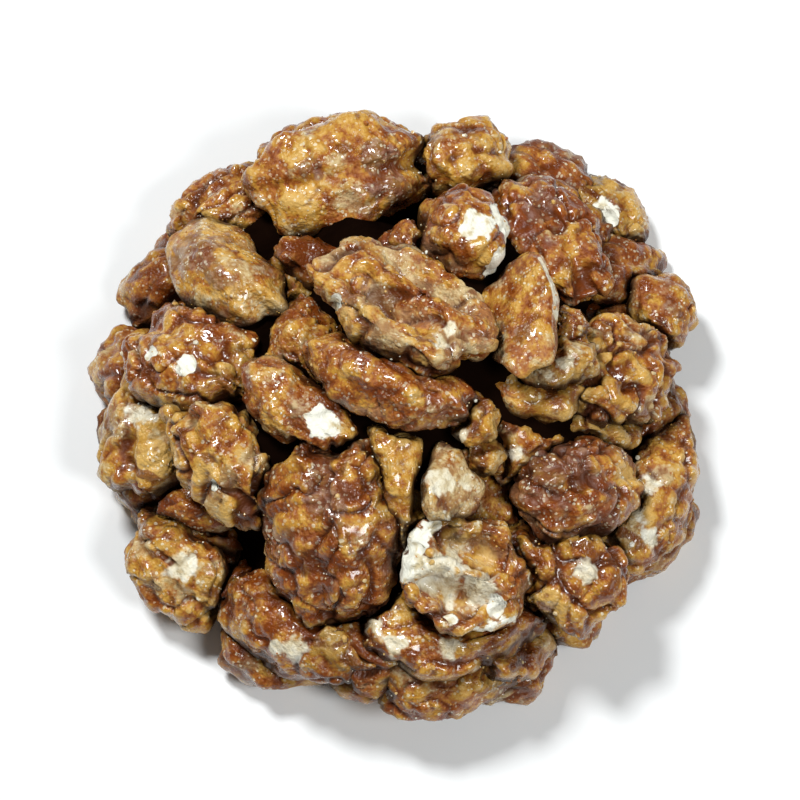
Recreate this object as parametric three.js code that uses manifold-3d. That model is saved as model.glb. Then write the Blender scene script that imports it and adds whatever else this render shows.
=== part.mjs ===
import * as THREE from "three";
import { mergeVertices } from "three/addons/utils/BufferGeometryUtils.js";
import Module from "manifold-3d";

// A loose heap of candied walnut halves and broken pieces, in millimetres, +Z up.
// The origin is on the table under the middle of the heap. The kernels that show
// are fused to each other and to a low round core, out to the heap's uneven outline.

const wasm = await Module();
wasm.setup();

// ---- driving dimensions --------------------------------------------------------

// Few kernels rise above this dome. Its flank is a parabola where shoulder is 1, and
// rounder below that.
const MOUND = { radius: 66, height: 50, shoulder: 0.8 };
const BED = { radius: 44, height: 26, rim: 3 }; // the buried kernels, on which the rest settle
const CORE = { radius: 48, depth: 10.5, steps: 6, sides: 20 }; // depth is below the mound
const DIPS = [[-20, 23], [-17, 7], [-33, -29], [18, -23], [3, 37], [41, 17]]; // deep gaps, as (x, y)
const DIP = { depth: 12, width: 8 }; // how much lower the core is under such a gap

// The loose kernels that lie round the foot of the heap and under its upper ones.
const RINGS = [
  { count: 15, radius: 49, start: 0, under: 12 },
  { count: 6, radius: 28, start: 0.3, under: 14 },
];
const RING_KERNEL = { length: [25, 32], slimness: [0.62, 0.72], height: [12, 14] };
const RING_FORMS = ["half", "long", "half", "wing", "half"];
const RING_JITTER = { angle: 0.5, radius: 4, yaw: 100, pitch: 16, roll: 24, phase: 10 };
const RING_SEED = 7;

// How a dropped kernel settles on what lies below it.
const STEEPEST = 0.6; // most that a kernel leans, as rise over run
const LEAN_REACH = 0.42; // share of its length over which the slope below is felt
const NESTING = 0.12; // share of its footprint that sinks between its neighbours
const FIELD_CELL = 1.5;
const FIELD_REACH = 78;

// The grid on each of a kernel's six faces: the first line whose length it reaches.
const GRIDS = [
  { length: 37, grid: 6 },
  { length: 29, grid: 4 },
  { length: 0, grid: 3 },
];

// Height above and below the widest line, as shares of one unit of height.
const FORMS = {
  half: { up: 1, down: 0.55, lumps: 0.06 },
  long: { up: 1, down: 0.6, lumps: 0.06 },
  wing: { up: 1, down: 0.6, lumps: 0.06 },
  leaf: { up: 0.55, down: 0.45, lumps: 0.06 },
  chunk: { up: 1, down: 0.8, lumps: 0.12 },
};
const PHASE_STEP = 1.7; // turns the lobes of each kernel, so that no two are alike

// ---- the kernels that show, in the order in which they are dropped --------------
// form, middle (x, y), yaw in degrees, length, width, height, then what is special:
// pitch and roll in degrees, and under, how far it stays below the mound's surface.

const KERNELS = [
  kernel("low_red", "chunk", -15.5, 24, -5, 18, 10, 10, { under: 12 }),
  kernel("low_right", "half", 42, 27, 10, 28, 20, 13, { under: 9 }),
  kernel("low_right_slab", "long", 37, 15.5, 20, 28, 14, 11, { roll: 10, under: 18 }),
  kernel("low_left", "chunk", -38.5, -21.5, -5, 17, 10, 10, { under: 10 }),
  kernel("low_left_front", "chunk", -31, -36, 30, 13, 9, 9, { under: 13 }),
  kernel("low_middle", "wing", -2.7, -13.5, 10, 26, 14, 11, { under: 11 }),
  kernel("low_inner", "half", 25.3, -10.5, 20, 27, 19, 12, { under: 9 }),
  kernel("low_outer", "chunk", 35.5, -6.5, 5, 24, 15, 12, { under: 9 }),
  kernel("low_knob", "chunk", 25, -2, 0, 20, 14, 11, { under: 8 }),
  kernel("low_back", "half", 29, 46, -35, 30, 20, 13, { under: 6 }),
  kernel("low_far_left", "chunk", -47.5, 25, 20, 20, 15, 12, { under: 6 }),
  kernel("low_front", "wing", -3, -48, -4, 30, 16, 12, { under: 3 }),
  kernel("back_left", "half", -34.5, 39, 40, 26, 18, 13, { under: 2 }),
  kernel("back_foot", "half", -13, 49.5, 8, 34, 22, 13),
  kernel("front_foot", "long", 10, -52, 12, 31, 19, 12),
  kernel("under_crown", "wing", -16.2, 4.5, -58, 25, 15, 13, { under: 8 }),
  kernel("left_tan", "half", -48, -6.5, 80, 29, 21, 13, { roll: -10, under: 2 }),
  kernel("left_pale", "half", -42.5, -32.5, -50, 26, 18, 13, { under: 3 }),
  kernel("front_red", "long", -19, -45.5, -28, 34, 18, 13, { roll: 10, under: 2 }),
  kernel("front_small", "chunk", 19.5, -46.5, 10, 20, 16, 12, { under: 3 }),
  kernel("right_dark", "half", 28, 31.5, -66, 36, 20, 14, { roll: 12, under: 3 }),
  kernel("leaf_foot", "chunk", 28.8, 2.8, 8, 19, 12, 10, { under: 3 }),
  kernel("right_pale", "long", 48, -19.5, 60, 34, 17, 13, { under: 3 }),
  kernel("back_pale", "chunk", 42, 41, -30, 18, 14, 11, { under: 3 }),
  kernel("right_knob", "chunk", 51.5, 18.5, 60, 17, 14, 12, { under: 1 }),
  kernel("back_small", "chunk", 11.5, 47.5, 10, 21, 16, 13, { under: 1 }),
  kernel("amber_strip", "long", 0, -23, -76, 28, 14, 12, { under: 4 }),
  kernel("tan_leaf", "leaf", 8.6, -23, 80, 17, 12, 7, { under: 5 }),
  kernel("middle_knob", "chunk", 12.9, -9.6, -60, 13, 10, 10, { under: 5 }),
  kernel("middle_crumb", "chunk", 15.5, -16.2, 0, 9, 8, 8, { under: 8 }),
  kernel("glossy_knob", "chunk", 30.5, 8.6, -40, 11, 9, 9, { under: 5 }),
  kernel("middle_long", "long", -1.8, -3.6, -25, 33, 16, 13, { under: 2 }),
  kernel("white_patch", "long", -19, -8, -36, 25, 12.5, 12, { under: 4 }),
  kernel("left_lobed", "half", -32.6, -15.2, -56, 32, 18, 13, { roll: -8, under: 2 }),
  kernel("left_glossy", "half", -38.3, 5.4, -33, 31, 25, 14, { roll: 8, under: 1 }),
  kernel("right_amber", "half", 41, 3, 25, 32, 21, 14, { under: 1 }),
  kernel("front_right", "half", 29.6, -33.4, -48, 29, 22, 14, { under: 1 }),
  kernel("front_pale", "long", 9.5, -45.5, 4, 34, 17, 13, { under: 1 }),
  kernel("smooth_leaf", "leaf", 22, 10.5, -78, 26, 17, 8, { roll: 10, under: 1 }),
  kernel("dark_purple", "half", 33.2, -20.3, 18, 28.5, 20, 15),
  kernel("slipper", "wing", -33.4, 22.8, -52, 31.5, 17.5, 14),
  kernel("crown", "half", -11.2, 42, 192, 37, 24, 15),
  kernel("centre_knob", "chunk", 0.4, 24.3, 30, 15, 12, 10, { under: 3 }),
  kernel("centre_turned", "half", 1.2, 9.6, 140, 37, 24, 15, { roll: 180, under: -1 }),
  kernel("white_edge", "chunk", 12.2, 27.2, -62, 21, 17, 14),
  kernel("dark_round", "half", -13, -29.8, -94, 38, 26.5, 16, { under: -1 }),
  kernel("pale_turned", "half", 10.6, -36.6, -20, 27, 22, 13, { roll: 180, under: -1 }),
];

function kernel(name, form, x, y, yaw, length, width, height, special = {}) {
  return { name, form, x, y, yaw, length, width, height, pitch: 0, roll: 0, under: 0, ...special };
}

// ---- the loose kernels of the rings ---------------------------------------------

// A small repeatable stream of numbers from 0 to 1 (mulberry32).
function randomStream(seed) {
  let state = seed;
  return () => {
    state = (state + 0x6d2b79f5) | 0;
    let t = Math.imul(state ^ (state >>> 15), state | 1);
    t ^= t + Math.imul(t ^ (t >>> 7), t | 61);
    return ((t ^ (t >>> 14)) >>> 0) / 4294967296;
  };
}

function ringKernels() {
  const draw = randomStream(RING_SEED);
  const between = ([low, high]) => low + (high - low) * draw();
  const spread = (range) => range * (draw() - 0.5);
  const kernels = [];
  for (const ring of RINGS) {
    for (let i = 0; i < ring.count; i += 1) {
      const angle = ((i + ring.start + spread(RING_JITTER.angle)) * 2 * Math.PI) / ring.count;
      const radius = ring.radius + spread(RING_JITTER.radius);
      const length = between(RING_KERNEL.length);
      const form = RING_FORMS[Math.floor(draw() * RING_FORMS.length)];
      const yaw = THREE.MathUtils.radToDeg(angle) + 90 + spread(RING_JITTER.yaw);
      const width = length * between(RING_KERNEL.slimness);
      const height = between(RING_KERNEL.height);
      const special = {
        pitch: spread(RING_JITTER.pitch),
        roll: spread(RING_JITTER.roll),
        phase: RING_JITTER.phase * draw(),
        under: ring.under,
      };
      const [x, y] = [radius * Math.cos(angle), radius * Math.sin(angle)];
      kernels.push(kernel(`ring_${ring.radius}_${i}`, form, x, y, yaw, length, width, height, special));
    }
  }
  return kernels;
}

// ---- how the heap settles -------------------------------------------------------

function moundHeight(r) {
  return MOUND.height * Math.max(0, 1 - (r / MOUND.radius) ** 2) ** MOUND.shoulder;
}

function bedHeight(r) {
  if (r > BED.radius) return 0;
  return BED.rim + (BED.height - BED.rim) * (1 - (r / BED.radius) ** 2);
}

// A grid of heights over the table, raised by each kernel that comes to rest on it.
class HeightField {
  constructor(heightAt) {
    this.cells = [];
    const count = Math.floor((2 * FIELD_REACH) / FIELD_CELL) + 1;
    for (let i = 0; i < count; i += 1) {
      for (let j = 0; j < count; j += 1) {
        const [x, y] = [i * FIELD_CELL - FIELD_REACH, j * FIELD_CELL - FIELD_REACH];
        this.cells.push({ x, y, height: heightAt(Math.hypot(x, y)) });
      }
    }
  }

  // The best-fitting slope of the heights near a point.
  slope(x, y, reach) {
    const near = this.cells.filter((c) => (c.x - x) ** 2 + (c.y - y) ** 2 < reach ** 2);
    const mean = near.reduce((sum, c) => sum + c.height, 0) / near.length;
    const fit = (along) => {
      const rise = near.reduce((sum, c) => sum + along(c) * (c.height - mean), 0);
      return rise / near.reduce((sum, c) => sum + along(c) ** 2, 0);
    };
    return [fit((c) => c.x - x), fit((c) => c.y - y)];
  }

  // The height at which an ellipsoid with half-axes semi, turned by spin, comes to rest.
  rest(x, y, semi, spin, ceiling) {
    const e = spin.elements;
    const q = (i, j) =>
      e[i] * e[j] / semi.x ** 2 + e[4 + i] * e[4 + j] / semi.y ** 2 + e[8 + i] * e[8 + j] / semi.z ** 2;
    const touched = [];
    for (const cell of this.cells) {
      const [dx, dy] = [cell.x - x, cell.y - y];
      const b = q(0, 2) * dx + q(1, 2) * dy;
      const c = q(0, 0) * dx * dx + 2 * q(0, 1) * dx * dy + q(1, 1) * dy * dy - 1;
      const root = b * b - q(2, 2) * c;
      if (root <= 0) continue;
      const half = Math.sqrt(root);
      touched.push({ cell, low: (-b - half) / q(2, 2), high: (-b + half) / q(2, 2) });
    }
    const lifts = touched.map((t) => t.cell.height - t.low).sort((a, b) => a - b);
    const top = Math.max(...touched.map((t) => t.high));
    const bottom = Math.min(...touched.map((t) => t.low));
    const nested = lifts[Math.floor(touched.length * (1 - NESTING))];
    const z = Math.max(Math.min(nested, ceiling - top), -bottom);
    for (const t of touched) t.cell.height = Math.max(t.cell.height, z + t.high);
    return z;
  }
}

function turned(axis, degrees) {
  return new THREE.Matrix4().makeRotationAxis(axis, THREE.MathUtils.degToRad(degrees));
}

// Gives each kernel its matrix: leaning with the slope below it, then yaw, roll and pitch.
function settle(kernels) {
  const field = new HeightField(bedHeight);
  for (const k of kernels) {
    const [slopeX, slopeY] = field.slope(k.x, k.y, LEAN_REACH * k.length);
    const steep = Math.hypot(slopeX, slopeY);
    const spin = new THREE.Matrix4();
    if (steep > 1e-6) {
      const lean = THREE.MathUtils.radToDeg(Math.atan(Math.min(steep, STEEPEST)));
      spin.multiply(turned(new THREE.Vector3(slopeY / steep, -slopeX / steep, 0), lean));
    }
    spin.multiply(turned(new THREE.Vector3(0, 0, 1), k.yaw));
    spin.multiply(turned(new THREE.Vector3(1, 0, 0), k.roll));
    spin.multiply(turned(new THREE.Vector3(0, 1, 0), k.pitch));
    const semi = new THREE.Vector3(k.length / 2, k.width / 2, k.height / 2);
    const ceiling = moundHeight(Math.hypot(k.x, k.y)) - k.under;
    const z = field.rest(k.x, k.y, semi, spin, ceiling);
    k.matrix = spin.setPosition(k.x, k.y, z);
  }
}

// ---- one kernel's shape ---------------------------------------------------------

// Broad lumps that run round a kernel, from crossed waves of one pitch.
function ripple(p, pitch, phase) {
  const first = Math.sin(pitch * (p.x + 0.4 * p.y) + phase);
  const second = Math.sin(pitch * (p.y + 0.4 * p.z) + 1.7 * phase + 1.3);
  const third = Math.sin(pitch * (p.z + 0.4 * p.x) + 2.3 * phase + 2.1);
  return (first * second + third) / 2;
}

function bell(x, width) {
  return Math.exp(-((x / width) ** 2));
}

// Moves a point of the unit sphere to the kernel's surface, on a unit box of its own:
// X runs along the kernel, Y across it, and Z out of its domed back.
function kernelPoint(form, u, phase) {
  const { up, down, lumps } = FORMS[form];
  const phi = Math.atan2(u.y, u.x);
  const flat = Math.hypot(u.x, u.y);
  const lobes = 0.05 * Math.cos(7 * phi + phase) + 0.035 * Math.cos(4 * phi + 2 * phase);
  let x = u.x * (1 + flat ** 2 * lobes);
  let y = u.y * (1 + flat ** 2 * lobes);
  let z = Math.sign(u.z) * Math.abs(u.z) ** 0.85 * (u.z > 0 ? up : down);
  if (form === "half") {
    // a notch at the stem end, a crease along the back and two hollows in the inner side
    x *= 1 - 0.16 * bell(Math.abs(phi) - Math.PI, 0.3) - 0.06 * bell(phi, 0.22);
    if (u.z > 0) z *= 1 - bell(u.y, 0.15) * (0.1 + 0.22 * u.x ** 2);
    else z += 0.75 * Math.abs(u.z) * bell(Math.abs(u.y) - 0.42, 0.24) * bell(u.x, 0.62);
  } else if (form === "long") {
    // one lobe of a half, bent a little and slimmer at its far end
    y = y * (1 - 0.2 * u.x) + 0.14 * u.x ** 2;
    z *= 1 - 0.12 * u.x;
  } else if (form === "wing") {
    // one lobe bent like a comma
    y = y * (1 - 0.12 * u.x) + 0.34 * u.x ** 2 - 0.1;
    z *= 1 - 0.25 * THREE.MathUtils.clamp(u.y, 0, 1);
  } else if (form === "leaf") {
    // a thin chip with two edges curled up
    x *= 1 + 0.12 * Math.cos(phi);
    y *= 1 - 0.18 * u.x;
    z += 0.35 * flat ** 2 * (0.5 + 0.5 * Math.cos(2 * phi + phase));
  }
  const lump = 1 + lumps * ripple(u, 3.2, phase) + 0.05 * ripple(u, 7.5, phase + 2);
  return new THREE.Vector3(x, y, z).multiplyScalar(lump);
}

// A sphere with even faces: a cube's grid, spaced by equal angles and pushed outwards.
function evenSphere(grid) {
  const cube = new THREE.BoxGeometry(2, 2, 2, grid, grid, grid);
  cube.deleteAttribute("normal");
  cube.deleteAttribute("uv");
  const place = cube.attributes.position;
  const point = new THREE.Vector3();
  for (let i = 0; i < place.count; i += 1) {
    point.fromBufferAttribute(place, i);
    for (const axis of ["x", "y", "z"]) point[axis] = Math.tan((point[axis] * Math.PI) / 4);
    point.normalize();
    place.setXYZ(i, point.x, point.y, point.z);
  }
  return mergeVertices(cube);
}

function kernelGeometry(k) {
  const geometry = evenSphere(GRIDS.find((line) => k.length >= line.length).grid);
  const { up, down } = FORMS[k.form];
  const unit = k.height / (up + down);
  const place = geometry.attributes.position;
  const point = new THREE.Vector3();
  for (let i = 0; i < place.count; i += 1) {
    const shaped = kernelPoint(k.form, point.fromBufferAttribute(place, i), k.phase);
    const local = new THREE.Vector3(
      (shaped.x * k.length) / 2,
      (shaped.y * k.width) / 2,
      shaped.z * unit - (unit * (up - down)) / 2,
    );
    local.applyMatrix4(k.matrix);
    place.setXYZ(i, local.x, local.y, local.z);
  }
  return geometry;
}

// ---- the core and the fused heap ------------------------------------------------

function coreHeight(x, y) {
  const nearest = Math.min(...DIPS.map(([dipX, dipY]) => Math.hypot(x - dipX, y - dipY)));
  return moundHeight(Math.hypot(x, y)) - CORE.depth - DIP.depth * bell(nearest, DIP.width);
}

// A flat disc of rings, whose top is then lifted to the core's height.
function coreGeometry() {
  const thickness = 1;
  const profile = [new THREE.Vector2(0, 0), new THREE.Vector2(CORE.radius, 0)];
  for (let i = CORE.steps; i >= 0; i -= 1) {
    profile.push(new THREE.Vector2((CORE.radius * i) / CORE.steps, thickness));
  }
  const disc = new THREE.LatheGeometry(profile, CORE.sides).rotateX(Math.PI / 2); // from +Y up to +Z up
  const place = disc.attributes.position;
  for (let i = 0; i < place.count; i += 1) {
    if (place.getZ(i) > thickness / 2) place.setZ(i, coreHeight(place.getX(i), place.getY(i)));
  }
  return disc;
}

function solidOf(geometry) {
  geometry.deleteAttribute("normal");
  geometry.deleteAttribute("uv");
  const merged = mergeVertices(geometry, 1e-5);
  return new wasm.Manifold(
    new wasm.Mesh({
      numProp: 3,
      vertProperties: new Float32Array(merged.attributes.position.array),
      triVerts: new Uint32Array(merged.index.array),
    }),
  );
}

// What lies below the table's level is cut away, so that the heap stands flat.
function belowTable() {
  const depth = 20;
  return new THREE.BoxGeometry(4 * MOUND.radius, 4 * MOUND.radius, depth).translate(0, 0, -depth / 2);
}

function heapGeometry() {
  const shown = KERNELS.map((k, i) => ({ ...k, phase: PHASE_STEP * i }));
  const kernels = [...ringKernels(), ...shown];
  settle(kernels);
  let heap = solidOf(coreGeometry());
  for (const k of kernels) heap = heap.add(solidOf(kernelGeometry(k)));
  heap = heap.subtract(solidOf(belowTable()));
  // the outer skin alone: scraps and sealed hollows are bodies of their own
  const [skin] = heap.decompose().sort((a, b) => b.volume() - a.volume());
  const { numProp, vertProperties, triVerts } = skin.getMesh();
  const geometry = new THREE.BufferGeometry();
  geometry.setAttribute("position", new THREE.BufferAttribute(new Float32Array(vertProperties), numProp));
  geometry.setIndex(new THREE.BufferAttribute(new Uint32Array(triVerts), 1));
  return geometry;
}

const caramel = new THREE.MeshStandardMaterial({ color: 0x8a5226, roughness: 0.4, metalness: 0 });

const heap = new THREE.Mesh(heapGeometry(), caramel);
heap.name = "candied_walnut_heap";

const group = new THREE.Group();
group.add(heap);

export default group;
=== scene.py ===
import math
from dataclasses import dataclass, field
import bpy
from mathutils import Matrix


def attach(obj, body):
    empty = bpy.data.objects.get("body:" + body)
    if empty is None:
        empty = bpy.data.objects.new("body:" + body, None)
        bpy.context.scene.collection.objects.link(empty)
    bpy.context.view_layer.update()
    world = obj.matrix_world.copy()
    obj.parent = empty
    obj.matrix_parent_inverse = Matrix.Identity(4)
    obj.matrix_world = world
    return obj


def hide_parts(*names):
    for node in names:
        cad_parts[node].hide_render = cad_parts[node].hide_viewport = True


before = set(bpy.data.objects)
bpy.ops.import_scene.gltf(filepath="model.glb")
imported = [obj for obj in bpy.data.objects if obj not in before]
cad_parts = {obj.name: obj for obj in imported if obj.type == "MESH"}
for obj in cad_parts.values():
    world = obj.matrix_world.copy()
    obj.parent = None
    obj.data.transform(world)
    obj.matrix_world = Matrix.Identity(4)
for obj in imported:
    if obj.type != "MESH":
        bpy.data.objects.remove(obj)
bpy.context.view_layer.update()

# A loose heap of candied walnuts: glazed halves, lobes, leaves and broken pieces, laid where
# the fused solid has them. Layout sizes are in mm.

from types import SimpleNamespace

import bpy
import numpy as np
from mathutils import Vector

HEAP_NODE = "candied_walnut_heap"
MM = 0.001

# ---- the heap's driving dimensions, as in the part's own source ----

# The mound limits how high the kernels' tops may come to rest, and the bed is what the first
# of them are dropped on. The core is the inside of the heap, lowered by dips where it is open.
MOUND = {"radius": 66, "height": 50, "shoulder": 0.8}
BED = {"radius": 44, "height": 26, "rim": 3}
CORE = {"radius": 48, "depth": 10.5}
DIPS = [(-20, 23), (-17, 7), (-33, -29), (18, -23), (3, 37), (41, 17)]
DIP = {"depth": 12, "width": 8}

# Kernels round the foot and inside the heap. start is a share of the step between two.
RINGS = [
    {"count": 15, "radius": 49, "start": 0, "under": 12},
    {"count": 6, "radius": 28, "start": 0.3, "under": 14},
]
RING_KERNEL = {"length": (25, 32), "slimness": (0.62, 0.72), "height": (12, 14)}
RING_FORMS = ["half", "long", "half", "wing", "half"]
RING_JITTER = {"angle": 0.5, "radius": 4, "yaw": 100, "pitch": 16, "roll": 24, "phase": 10}
RING_SEED = 7

STEEPEST = 0.6  # slope to which a kernel leans at most
LEVEL = 1e-6  # slope below which it doesn't lean
LEAN_REACH = 0.42  # of its length, round its middle, over which the slope is measured
NESTING = 0.12  # share of its underside that sinks into what lies below
FIELD_CELL = 1.5
FIELD_REACH = 78
PHASE_STEP = 1.7  # between the lumps of two kernels, so that none repeats

# height above and below the widest line, and how lumpy the whole form is
FORMS = {
    "half": (1, 0.55, 0.06),
    "long": (1, 0.6, 0.06),
    "wing": (1, 0.6, 0.06),
    "leaf": (0.55, 0.45, 0.06),
    "chunk": (1, 0.8, 0.12),
}


@dataclass
class Kernel:
    """One glazed walnut piece: its place and size in mm, and how its glaze looks.

    under is the least that its top stays below the mound at its middle, unless the table
    holds it up. Angles are in degrees. amber to knobs say how strong each look is, from 0 to
    1 or a little over.
    """

    name: str
    form: str
    x: float
    y: float
    yaw: float
    length: float
    width: float
    height: float
    pitch: float = 0
    roll: float = 0
    under: float = 0
    phase: float = 0
    amber: float = 0.5
    purple: float = 0.3
    pale: float = 0.0
    sandy: float = 0.3
    gloss: float = 0.5
    folds: float = 0.5
    knobs: float = 1.0
    bare: list = field(default_factory=list)
    cream: list = field(default_factory=list)
    golden: list = field(default_factory=list)
    dusky: list = field(default_factory=list)


def strip(start, end, radius):
    """Spots in a row from one place to another, near enough to run together."""
    count = math.ceil(math.dist(start, end) / radius)
    shares = [i / count for i in range(count + 1)]
    return [tuple(a + (b - a) * share for a, b in zip(start, end)) + (radius,) for share in shares]


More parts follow.
